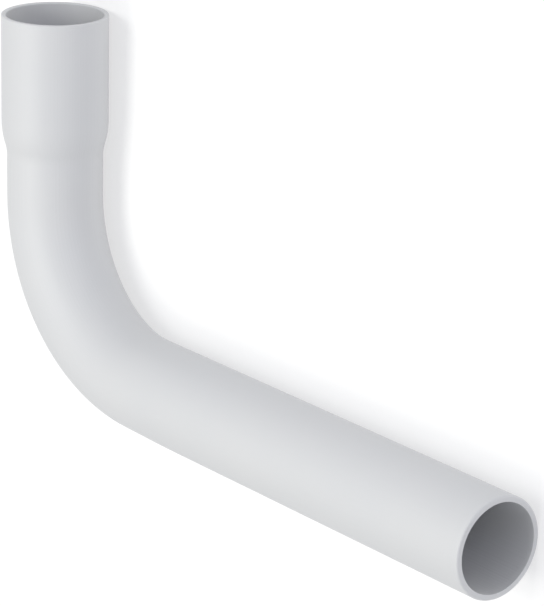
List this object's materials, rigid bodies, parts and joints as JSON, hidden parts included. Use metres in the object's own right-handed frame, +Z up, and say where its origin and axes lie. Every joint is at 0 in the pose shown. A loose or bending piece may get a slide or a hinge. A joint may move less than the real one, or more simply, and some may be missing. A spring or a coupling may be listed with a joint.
{
  "type": "flush pipe",
  "caption": "Bent flush pipe in pale grey plastic: a right-angled sweep with a widened socket on the short leg and a plain spigot on the long leg, lying on its side.",
  "frame": {"origin": "middle of the footprint's box, on the floor that the pipe lies on", "axes": "+X along the outlet leg and out of the spigot, +Y across the floor towards the socket's mouth, +Z up. The inlet leg rises by 1.3 degrees towards the mouth, because the socket is wider than the pipe."},
  "size_m": [0.3738, 0.2036, 0.0567],
  "materials": {
    "pipe_plastic": "satin, pale cool grey, extruded"
  },
  "bodies": {
    "root": {"flush_pipe": "pipe_plastic"}
  },
  "joints": []
}
